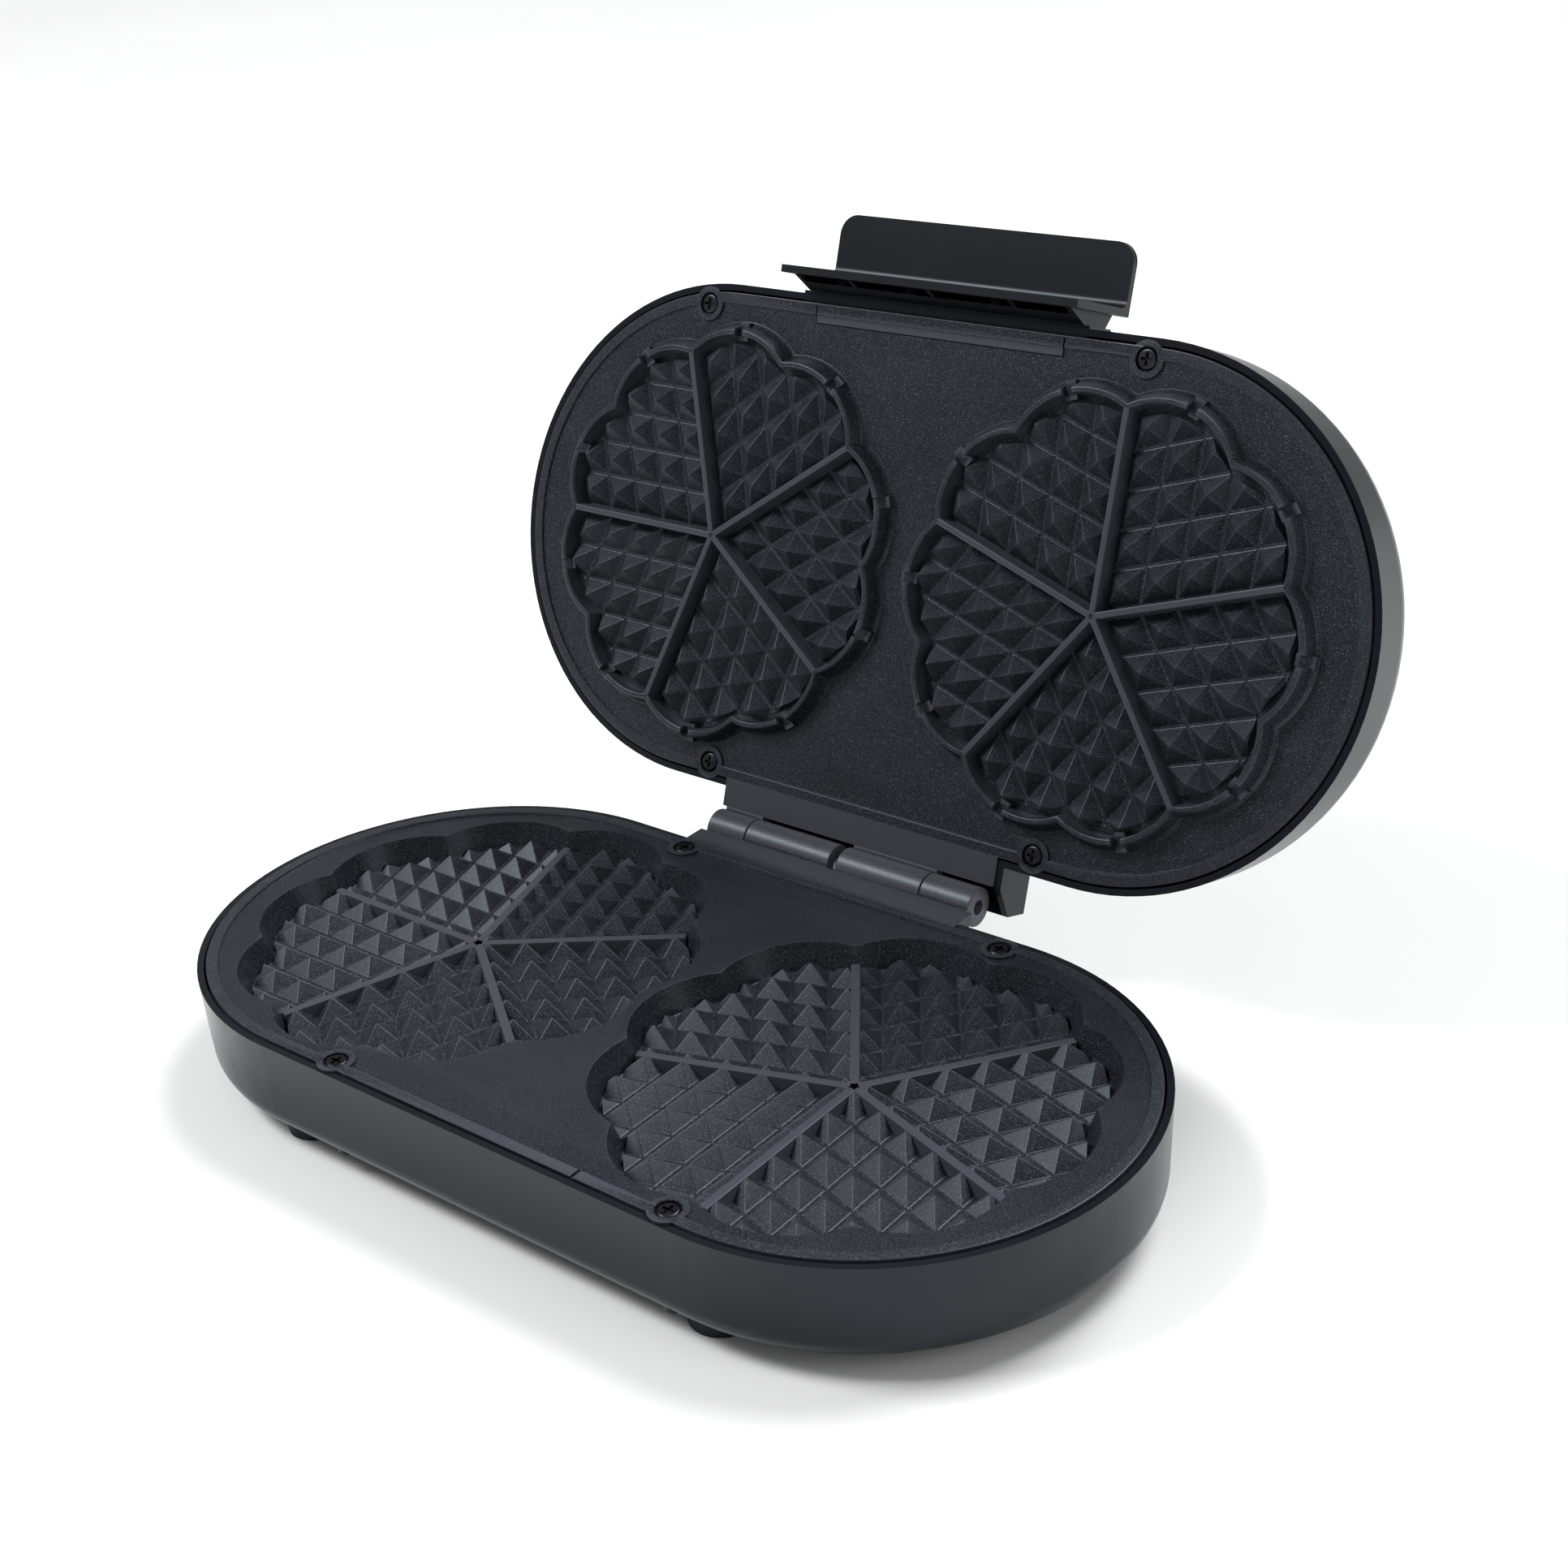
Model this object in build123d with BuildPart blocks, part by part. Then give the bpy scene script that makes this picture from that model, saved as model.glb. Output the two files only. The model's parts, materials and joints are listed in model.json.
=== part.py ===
from build123d import *

import os
from math import cos, radians, sin

os.makedirs("parts", exist_ok=True)

# A double heart-waffle maker. Lengths are millimetres, angles degrees.
# +X runs along the two waffles, +Y towards the hinge, +Z up.
# The origin is on the table, under the middle of the base.
# Every lid piece is drawn closed, then swung back about the hinge to its open stop.

# --- Driving dimensions: shells ---
end_radius = 103.0
end_centre = 98.0
wall = 2.6
shell_gap = 0.8
draft_angle = 2.0
plate_height = 45.0
parting_gap = 3.0
base_bottom = 7.0
base_corner = 9.0
lid_depth = 34.0
lid_corner = 15.0

# --- Plates and waffles ---
waffle_centre = 91.5
plate_thickness = 4.0
lip_width = 4.6
lip_height = 1.0
skirt_depth = 9.0
lobes = 10
hearts = 5
right_turn = -90.0
left_turn = -108.0
rim_cusp = 84.8
floor_cusp = 80.8
lobe_bulge = 11.4
pocket_depth = 11.0
floor_thickness = 4.5
cup_wall = 3.2
divider_width = 3.6
lower_divider_height = 5.0
ring_height = 7.0
ring_foot_cusp = 80.6
ring_top_cusp = 78.4
ring_width = 3.4
field_cusp = 72.2
ring_bulge = 10.4
overflow_bar_width = 4.4
overflow_bar_height = 3.2
overflow_bar_length = 13.0

# --- Pyramids ---
pyramid_pitch = 14.0
pyramid_height = 5.8
pyramid_valley = 1.2
teeth = 7
field_step = 0.3
field_sink = 1.0

# --- Hinge ---
hinge_y = 120.0
hinge_z = 43.5
open_angle = 108.7
barrel_radius = 8.0
pin_radius = 3.0
running_clearance = 0.05
lid_knuckle_left = (-68.0, -48.4)
base_knuckle_left = (-48.0, -5.0)
lid_knuckle_right = (-1.0, 39.6)
base_knuckle_right = (40.0, 63.0)
block_half_width = 64.0
block_back = 117.0
block_top = 34.0
block_front = end_radius - 6.0
block_slope = 8.0
flange_back = 111.0
flange_top = plate_height - 4.4
flange_back_gap = 0.7
hinge_flange_left = -70.0
hinge_flange_right = 65.9
web_inset = 2.0
knuckle_end_wall = 3.0
hinge_gap = 0.4
hood_left = -70.0
hood_right = 69.0
hood_back = 124.0
hood_top = 69.0
hood_under = 57.0

# --- Handle ---
handle_half_width = 68.5
handle_body_half = 64.0
handle_face = -112.6
handle_lip = -137.0
handle_wall = 3.0
handle_bottom = 34.0
handle_top = 73.0
handle_corner = 8.0
handle_bays = [(-61.5, -38.0), (-36.0, -1.0), (1.0, 36.0), (38.0, 61.5)]
handle_seat_inset = 4.4
pad_depth = 1.2
handle_pad_bottom = 49.0
handle_pad_height = 16.0

# --- Fasteners, feet and electrics ---
screw_head_radius = 4.0
screw_head_height = 2.4
screw_shank_radius = 1.8
screw_hole_radius = 1.9
screw_length = 14.0
cross_width = 1.1
cross_span = 4.6
cross_depth = 1.3
head_sink = 1.6
recess_radius = 4.6
boss_radius = 7.0
post_radius = 4.6
upper_post_height = 20.0
lower_screw_places = [(-65.5, 95.0), (89.0, 95.0), (-66.0, -95.0), (89.5, -95.0)]
upper_screw_places = [(-80.7, 95.0), (80.7, 95.0), (-113.6, -93.8), (93.0, -95.0)]
element_radius = 3.2
element_seat = 1.5
element_run = 52.0
element_end = 150.0
element_bend = 22.0
terminal_gap = 10.0
terminal_stop = 14.0
reflector_thickness = 0.8
pillar_radius = 4.0
pillar_places = [(x, y) for x in (-75.0, 75.0) for y in (-40.0, 40.0)]
lower_reflector_z = 20.0
upper_reflector_z = 65.0
reflector_radius = 89.0
reflector_lip = 4.0
inlet_x = -32.0
inlet_z = 23.0
inlet_flange_radius = 7.5
inlet_neck_radius = 5.5
inlet_bore_radius = 3.4
inlet_length = 13.0
terminal_block_size = (34.0, 13.0, 14.0)
terminal_block_chamfer = 1.2
wire_hole_radius = 2.2
wire_hole_height = 5.0
wire_hole_places = [-10.0, 0.0, 10.0]
clamp_size = (22.0, 8.0)
thermostat_radius = 8.0
thermostat_height = 9.0
thermostat_base = 1.2
thermostat_place = (0.0, -24.0)
fuse_radius = 2.2
fuse_length = 14.0
fuse_place = (30.0, 0.0)
lens_radius = 3.5
lens_flange = 5.0
lens_y = -62.0
power_lens_x = -9.0
ready_lens_x = 9.0
lamp_radius = 2.6
lamp_height = 9.0
handle_screw_places = [-54.0, -20.0, 20.0, 54.0]
handle_screw_z = 58.0
foot_boss_height = 5.0
foot_taper = 6.0
foot_recess_depth = 3.6
head_round = 1.0
gland_flange_thickness = 2.0
terminal_block_y = 101.0
clamp_y = 100.0
clamp_height = 18.0
clamp_round = 2.0
pin_size = (1.5, 12.0)
tab_size = (6.3, 8.0, 0.8)
fuse_lead_radius = 0.6
lens_flange_thickness = 1.6
lens_rise = 4.6
lens_round = 0.8
foot_radius = 12.5
rear_foot_radius = 9.0
front_foot_places = [(-98.0, -83.0), (98.0, -83.0)]
rear_foot_places = [(-55.0, 100.0), (55.0, 100.0)]
foot_places = front_foot_places + rear_foot_places

# --- Worked-out levels ---
lobe_angle = 360.0 / lobes
heart_angle = 360.0 / hearts
upper_plane = plate_height + parting_gap
plate_radius = end_radius - wall - shell_gap
lip_inner = plate_radius - lip_width
lower_shell_top = plate_height + 0.2
upper_shell_bottom = upper_plane - 0.2
lid_top = upper_plane + lid_depth
base_floor = base_bottom + wall
lid_ceiling = lid_top - wall
pocket_floor = plate_height - pocket_depth
cup_bottom = pocket_floor - floor_thickness
lower_element_z = cup_bottom - element_radius + element_seat
upper_back = upper_plane + plate_thickness
upper_element_z = upper_back + element_radius - element_seat
tab_y = terminal_stop - pin_size[1]
waffles = [(waffle_centre, right_turn), (-waffle_centre, left_turn)]
hinge_axis = Axis((0, hinge_y, hinge_z), (1, 0, 0))


def polar(radius, angle):
    """The point at a radius and an angle."""
    return (radius * cos(radians(angle)), radius * sin(radians(angle)))


def lobe_arcs(cusp_radius, bulge, turn, count):
    """Outward arcs that meet in cusps, drawn inside a BuildLine."""
    crown = cusp_radius * cos(radians(lobe_angle / 2)) + bulge
    for step in range(count):
        start = turn + step * lobe_angle
        ThreePointArc(
            polar(cusp_radius, start),
            polar(crown, start + lobe_angle / 2),
            polar(cusp_radius, start + lobe_angle),
        )


def tooth_points(first):
    """A row of triangular teeth on a thin sole, as corner points from left to right."""
    points = [(first, -field_sink), (first, field_step)]
    for tooth in range(teeth):
        left = first + tooth * pyramid_pitch
        points.append((left + pyramid_valley / 2, field_step))
        points.append((left + pyramid_pitch / 2, pyramid_height + field_step))
        points.append((left + pyramid_pitch - pyramid_valley / 2, field_step))
    last = first + teeth * pyramid_pitch
    return points + [(last, field_step), (last, -field_sink), (first, -field_sink)]


def heart_field(first, cusp_radius, bulge):
    """The pyramids of one heart, between 0 and one heart angle, standing on z = 0."""
    along_first = Plane(origin=(0, 0, 0), x_dir=(0, 1, 0), z_dir=(1, 0, 0))
    across = (sin(radians(heart_angle)), -cos(radians(heart_angle)), 0)
    back = (-cos(radians(heart_angle)), -sin(radians(heart_angle)), 0)
    along_second = Plane(origin=(0, 0, 0), x_dir=across, z_dir=back)
    with BuildPart() as field:
        with BuildSketch(Plane.XY.offset(-field_sink)):
            with BuildLine():
                Line((0, 0), polar(cusp_radius, 0))
                lobe_arcs(cusp_radius, bulge, 0, 2)
                Line(polar(cusp_radius, heart_angle), (0, 0))
            make_face()
        extrude(amount=field_sink + field_step + pyramid_height)
        with BuildSketch(along_first):
            with BuildLine():
                Polyline(*tooth_points(first))
            make_face()
        extrude(amount=2 * rim_cusp, both=True, mode=Mode.INTERSECT)
        with BuildSketch(along_second):
            with BuildLine():
                Polyline(*tooth_points(first))
            make_face()
        extrude(amount=2 * rim_cusp, both=True, mode=Mode.INTERSECT)
    return field.part


# ============================ BASE ============================

with BuildPart() as base_cavity:
    with BuildSketch(Plane.XY.offset(lower_shell_top)):
        SlotCenterToCenter(2 * end_centre, 2 * (end_radius - wall))
    extrude(amount=base_floor - lower_shell_top, taper=draft_angle)
    fillet(base_cavity.faces().sort_by(Axis.Z)[0].edges(), base_corner - wall)

# Open-topped tray with posts for the plate screws and the hinge block behind it
with BuildPart() as base_housing:
    with BuildSketch(Plane.XY.offset(lower_shell_top)):
        SlotCenterToCenter(2 * end_centre, 2 * end_radius)
    extrude(amount=base_bottom - lower_shell_top, taper=draft_angle)
    fillet(base_housing.faces().sort_by(Axis.Z)[0].edges(), base_corner)
    add(base_cavity.part, mode=Mode.SUBTRACT)
    with BuildSketch(Plane.YZ.offset(-block_half_width)):
        with BuildLine():
            Polyline(
                (block_front, base_bottom),
                (block_back - block_slope, base_bottom),
                (block_back, base_bottom + block_slope),
                (block_back, block_top),
                (flange_back, block_top),
                (flange_back, flange_top),
                (block_front, flange_top),
                close=True,
            )
        make_face()
    extrude(amount=2 * block_half_width)
    with BuildSketch(Plane.YZ.offset(wall - block_half_width)):
        with BuildLine():
            Polyline(
                (block_front - wall, base_floor),
                (block_back - block_slope - wall / 2, base_floor),
                (block_back - wall, base_bottom + block_slope + wall / 2),
                (block_back - wall, block_top - wall),
                (block_front - wall, block_top - wall),
                close=True,
            )
        make_face()
    extrude(amount=2 * (block_half_width - wall), mode=Mode.SUBTRACT)
    with Locations((hinge_flange_left - hinge_gap, end_radius - 2 * wall, flange_top)):
        Box(
            hinge_flange_right - hinge_flange_left + 2 * hinge_gap,
            4 * wall,
            plate_thickness + lip_height,
            align=(Align.MIN, Align.MIN, Align.MIN),
            mode=Mode.SUBTRACT,
        )
    with BuildSketch(Plane.XY.offset(base_floor - wall / 2)):
        with Locations(*lower_screw_places):
            Circle(post_radius)
    extrude(amount=plate_height - plate_thickness - base_floor + wall / 2)
    with BuildSketch(Plane.XY.offset(base_floor - wall / 2)):
        with Locations(*pillar_places):
            Circle(pillar_radius)
    extrude(amount=lower_reflector_z - base_floor + wall / 2)
    with BuildSketch(Plane.XY.offset(base_floor - wall / 2)):
        with Locations(*foot_places):
            Circle(pillar_radius)
    extrude(amount=foot_boss_height + wall / 2)
    with BuildSketch(Plane.XY.offset(plate_height)):
        with Locations(*lower_screw_places):
            Circle(screw_hole_radius)
    extrude(amount=-screw_length - head_sink - 1, mode=Mode.SUBTRACT)
    with BuildSketch(Plane.XY.offset(base_bottom)):
        with Locations(*foot_places):
            Circle(screw_hole_radius)
    extrude(amount=wall + foot_boss_height - 1, mode=Mode.SUBTRACT)
    with BuildSketch(Plane.XZ.offset(-block_back)):
        with Locations((inlet_x, inlet_z)):
            Circle(inlet_neck_radius)
    extrude(amount=2 * wall, both=True, mode=Mode.SUBTRACT)

base_housing.part.label = "base_housing"
export_step(base_housing.part, "parts/base_housing.step")

lower_first_tooth = -pyramid_pitch / 2 + divider_width / 2 + pyramid_valley
lower_field = heart_field(lower_first_tooth, floor_cusp - 1.0, lobe_bulge)
upper_field = heart_field(divider_width / 2, field_cusp, ring_bulge).mirror(Plane.XY)

element_corners = [
    (-terminal_gap, terminal_stop),
    (-terminal_gap, element_run),
    (-element_end, element_run),
    (-element_end, -element_run),
    (element_end, -element_run),
    (element_end, element_run),
    (terminal_gap, element_run),
    (terminal_gap, terminal_stop),
]
with BuildLine(Plane.XY.offset(lower_element_z)) as lower_element_path:
    FilletPolyline(*element_corners, radius=element_bend)
with BuildLine(Plane.XY.offset(upper_element_z)) as upper_element_path:
    FilletPolyline(*element_corners, radius=element_bend)


# Cast plate with two lobed pockets, each split into hearts full of pyramids.
# Its rear flange carries the fixed hinge barrels, which hold the pins.
with BuildPart() as lower_plate:
    with BuildSketch(Plane.XY.offset(plate_height - skirt_depth)):
        SlotCenterToCenter(2 * end_centre, 2 * plate_radius)
    extrude(amount=skirt_depth + lip_height)
    with BuildSketch(Plane.XY.offset(plate_height - skirt_depth)):
        SlotCenterToCenter(2 * end_centre, 2 * (plate_radius - wall))
        with Locations(*lower_screw_places):
            Circle(post_radius + shell_gap)
    extrude(amount=skirt_depth - plate_thickness, mode=Mode.SUBTRACT)
    with BuildSketch(Plane.XY.offset(plate_height)):
        SlotCenterToCenter(2 * end_centre, 2 * lip_inner)
        with Locations(*lower_screw_places):
            Circle(boss_radius, mode=Mode.SUBTRACT)
    extrude(amount=2 * lip_height, mode=Mode.SUBTRACT)
    for centre, turn in waffles:
        with BuildSketch(Plane((centre, 0, plate_height - lip_height))):
            with BuildLine():
                lobe_arcs(rim_cusp + cup_wall, lobe_bulge, turn, lobes)
            make_face()
        with BuildSketch(Plane((centre, 0, cup_bottom))):
            with BuildLine():
                lobe_arcs(floor_cusp + cup_wall, lobe_bulge, turn, lobes)
            make_face()
        loft(ruled=True)
    for centre, turn in waffles:
        with BuildSketch(Plane((centre, 0, plate_height))):
            with BuildLine():
                lobe_arcs(rim_cusp, lobe_bulge, turn, lobes)
            make_face()
        with BuildSketch(Plane((centre, 0, pocket_floor))):
            with BuildLine():
                lobe_arcs(floor_cusp, lobe_bulge, turn, lobes)
            make_face()
        loft(ruled=True, mode=Mode.SUBTRACT)
    for centre, turn in waffles:
        for heart in range(hearts):
            with Locations(Location((centre, 0, pocket_floor), (0, 0, turn + heart * heart_angle))):
                add(lower_field)
        with BuildSketch(Plane((centre, 0, pocket_floor - 1))):
            for heart in range(hearts):
                with Locations(Rotation(0, 0, turn + heart * heart_angle)):
                    Rectangle(floor_cusp + 1, divider_width, align=(Align.MIN, Align.CENTER))
        extrude(amount=lower_divider_height + 1)
    with Locations((hinge_flange_left, plate_radius - lip_width, plate_height - plate_thickness)):
        Box(
            hinge_flange_right - hinge_flange_left,
            hinge_y - barrel_radius - flange_back_gap - plate_radius + lip_width,
            plate_thickness + lip_height,
            align=(Align.MIN, Align.MIN, Align.MIN),
        )
    with BuildSketch(Plane.XY.offset(plate_height - head_sink)):
        with Locations(*lower_screw_places):
            Circle(recess_radius)
    extrude(amount=head_sink + 2 * lip_height, mode=Mode.SUBTRACT)
    with BuildSketch(Plane.XY.offset(plate_height)):
        with Locations(*lower_screw_places):
            Circle(screw_hole_radius)
    extrude(amount=-2 * plate_thickness, mode=Mode.SUBTRACT)
    with BuildSketch(Plane((-terminal_gap, terminal_stop, lower_element_z), z_dir=(0, 1, 0))):
        Circle(element_radius + running_clearance)
    sweep(path=lower_element_path.wires()[0], mode=Mode.SUBTRACT)
    for start, stop in (base_knuckle_left, base_knuckle_right):
        with Locations((start, flange_back - web_inset, plate_height - plate_thickness)):
            Box(
                stop - start,
                barrel_radius,
                plate_thickness + lip_height,
                align=(Align.MIN, Align.MIN, Align.MIN),
            )
        with BuildSketch(Plane.YZ.offset(start)):
            with Locations((hinge_y, hinge_z)):
                Circle(barrel_radius)
        extrude(amount=stop - start)
    with BuildSketch(Plane.YZ.offset(base_knuckle_left[0] - 1)):
        with Locations((hinge_y, hinge_z)):
            Circle(pin_radius)
    extrude(amount=base_knuckle_right[1] - knuckle_end_wall - base_knuckle_left[0] + 1, mode=Mode.SUBTRACT)

lower_plate.part.label = "lower_plate"
export_step(lower_plate.part, "parts/lower_plate.step")

# Sheathed heating element, bent to a loop under both cups
with BuildPart() as lower_heating_element:
    with BuildSketch(Plane((-terminal_gap, terminal_stop, lower_element_z), z_dir=(0, 1, 0))):
        Circle(element_radius)
    sweep(path=lower_element_path.wires()[0])

lower_heating_element.part.label = "lower_heating_element"
export_step(lower_heating_element.part, "parts/lower_heating_element.step")

# A cold pin and spade tab on each end of the lower element
with BuildPart() as lower_element_terminals:
    with Locations(*[(x, terminal_stop, lower_element_z) for x in (-terminal_gap, terminal_gap)]):
        Cylinder(pin_size[0], pin_size[1], rotation=(90, 0, 0), align=(Align.CENTER, Align.CENTER, Align.MIN))
    with Locations(*[(x, tab_y, lower_element_z) for x in (-terminal_gap, terminal_gap)]):
        Box(*tab_size)

lower_element_terminals.part.label = "lower_element_terminals"
export_step(lower_element_terminals.part, "parts/lower_element_terminals.step")

# Bright tray that throws the heat back up
with BuildPart() as lower_heat_reflector:
    with BuildSketch(Plane.XY.offset(lower_reflector_z)):
        SlotCenterToCenter(2 * end_centre, 2 * reflector_radius)
    extrude(amount=reflector_lip)
    with BuildSketch(Plane.XY.offset(lower_reflector_z + reflector_thickness)):
        SlotCenterToCenter(2 * end_centre, 2 * (reflector_radius - reflector_thickness))
    extrude(amount=reflector_lip, mode=Mode.SUBTRACT)

lower_heat_reflector.part.label = "lower_heat_reflector"
export_step(lower_heat_reflector.part, "parts/lower_heat_reflector.step")


# Four pan-head screws that hold the lower plate
lower_head_seat = plate_height - head_sink
with BuildPart() as lower_plate_screws:
    with BuildSketch(Plane.XY.offset(lower_head_seat)):
        with Locations(*lower_screw_places):
            Circle(screw_head_radius)
    extrude(amount=screw_head_height)
    fillet(lower_plate_screws.faces().sort_by(Axis.Z)[-4:].edges(), head_round)
    with BuildSketch(Plane.XY.offset(lower_head_seat)):
        with Locations(*lower_screw_places):
            Circle(screw_shank_radius)
    extrude(amount=-screw_length)
    with BuildSketch(Plane.XY.offset(lower_head_seat + screw_head_height)):
        with Locations(*lower_screw_places):
            Rectangle(cross_span, cross_width)
            Rectangle(cross_width, cross_span)
    extrude(amount=-cross_depth, mode=Mode.SUBTRACT)

lower_plate_screws.part.label = "lower_plate_screws"
export_step(lower_plate_screws.part, "parts/lower_plate_screws.step")

# Round rubber feet, each with a recess for its screw
with BuildPart() as rubber_feet:
    with BuildSketch(Plane.XY.offset(base_bottom)):
        with Locations(*front_foot_places):
            Circle(foot_radius)
        with Locations(*rear_foot_places):
            Circle(rear_foot_radius)
    extrude(amount=-base_bottom, taper=foot_taper)
    with BuildSketch(Plane.XY):
        with Locations(*foot_places):
            Circle(recess_radius)
    extrude(amount=foot_recess_depth, mode=Mode.SUBTRACT)
    with BuildSketch(Plane.XY):
        with Locations(*foot_places):
            Circle(screw_hole_radius)
    extrude(amount=base_bottom, mode=Mode.SUBTRACT)

rubber_feet.part.label = "rubber_feet"
export_step(rubber_feet.part, "parts/rubber_feet.step")

# Screws that hold the feet, heads down inside the recesses
with BuildPart() as foot_screws:
    with BuildSketch(Plane.XY.offset(foot_recess_depth)):
        with Locations(*foot_places):
            Circle(screw_head_radius)
    extrude(amount=-screw_head_height)
    with BuildSketch(Plane.XY.offset(foot_recess_depth)):
        with Locations(*foot_places):
            Circle(screw_shank_radius)
    extrude(amount=base_bottom + wall)
    with BuildSketch(Plane.XY.offset(foot_recess_depth - screw_head_height)):
        with Locations(*foot_places):
            Rectangle(cross_span, cross_width)
            Rectangle(cross_width, cross_span)
    extrude(amount=cross_depth, mode=Mode.SUBTRACT)

foot_screws.part.label = "foot_screws"
export_step(foot_screws.part, "parts/foot_screws.step")

# Steel pin through the left pair of knuckles
with BuildPart() as hinge_pin_left:
    with BuildSketch(Plane.YZ.offset(lid_knuckle_left[0] + 1)):
        with Locations((hinge_y, hinge_z)):
            Circle(pin_radius)
    extrude(amount=base_knuckle_left[1] - 1 - lid_knuckle_left[0] - 1)

hinge_pin_left.part.label = "hinge_pin_left"
export_step(hinge_pin_left.part, "parts/hinge_pin_left.step")

# Steel pin through the right pair of knuckles
with BuildPart() as hinge_pin_right:
    with BuildSketch(Plane.YZ.offset(lid_knuckle_right[0] + 1)):
        with Locations((hinge_y, hinge_z)):
            Circle(pin_radius)
    extrude(amount=base_knuckle_right[1] - knuckle_end_wall - lid_knuckle_right[0] - 1)

hinge_pin_right.part.label = "hinge_pin_right"
export_step(hinge_pin_right.part, "parts/hinge_pin_right.step")

# Bush that lines the cord hole in the back of the hinge block
with BuildPart() as power_inlet_gland:
    with BuildSketch(Plane.XZ.offset(-block_back)):
        with Locations((inlet_x, inlet_z)):
            Circle(inlet_flange_radius)
    extrude(amount=-gland_flange_thickness)
    with BuildSketch(Plane.XZ.offset(-block_back)):
        with Locations((inlet_x, inlet_z)):
            Circle(inlet_neck_radius - running_clearance)
    extrude(amount=inlet_length - gland_flange_thickness)
    with BuildSketch(Plane.XZ.offset(-block_back - gland_flange_thickness)):
        with Locations((inlet_x, inlet_z)):
            Circle(inlet_bore_radius)
    extrude(amount=inlet_length, mode=Mode.SUBTRACT)

power_inlet_gland.part.label = "power_inlet_gland"
export_step(power_inlet_gland.part, "parts/power_inlet_gland.step")

# Ceramic block where the mains wires meet the element leads
with BuildPart() as terminal_block:
    with Locations((0, terminal_block_y, base_floor)):
        Box(*terminal_block_size, align=(Align.CENTER, Align.CENTER, Align.MIN))
    with BuildSketch(Plane.XZ.offset(-terminal_block_y)):
        with Locations(*[(x, base_floor + wire_hole_height) for x in wire_hole_places]):
            Circle(wire_hole_radius)
    extrude(amount=terminal_block_size[1], both=True, mode=Mode.SUBTRACT)
    chamfer(terminal_block.edges().filter_by(Axis.Z), terminal_block_chamfer)

terminal_block.part.label = "terminal_block"
export_step(terminal_block.part, "parts/terminal_block.step")

# Saddle that grips the mains cord just inside its bush
with BuildPart() as cord_clamp:
    with Locations((inlet_x, clamp_y, base_floor)):
        Box(clamp_size[0], clamp_size[1], clamp_height, align=(Align.CENTER, Align.CENTER, Align.MIN))
    with BuildSketch(Plane.XZ.offset(-clamp_y)):
        with Locations((inlet_x, inlet_z)):
            Circle(inlet_bore_radius)
    extrude(amount=clamp_size[1], both=True, mode=Mode.SUBTRACT)
    fillet(cord_clamp.edges().filter_by(Axis.Y).sort_by(Axis.Z)[-2:], clamp_round)

cord_clamp.part.label = "cord_clamp"
export_step(cord_clamp.part, "parts/cord_clamp.step")

# ============================ LID ============================
# Each piece is drawn closed and swung by the opening angle before it is written.

with BuildPart() as lid_cavity:
    with BuildSketch(Plane.XY.offset(upper_shell_bottom)):
        SlotCenterToCenter(2 * end_centre, 2 * (end_radius - wall))
    extrude(amount=lid_ceiling - upper_shell_bottom, taper=draft_angle)
    fillet(lid_cavity.faces().sort_by(Axis.Z)[-1].edges(), lid_corner - wall)

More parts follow.
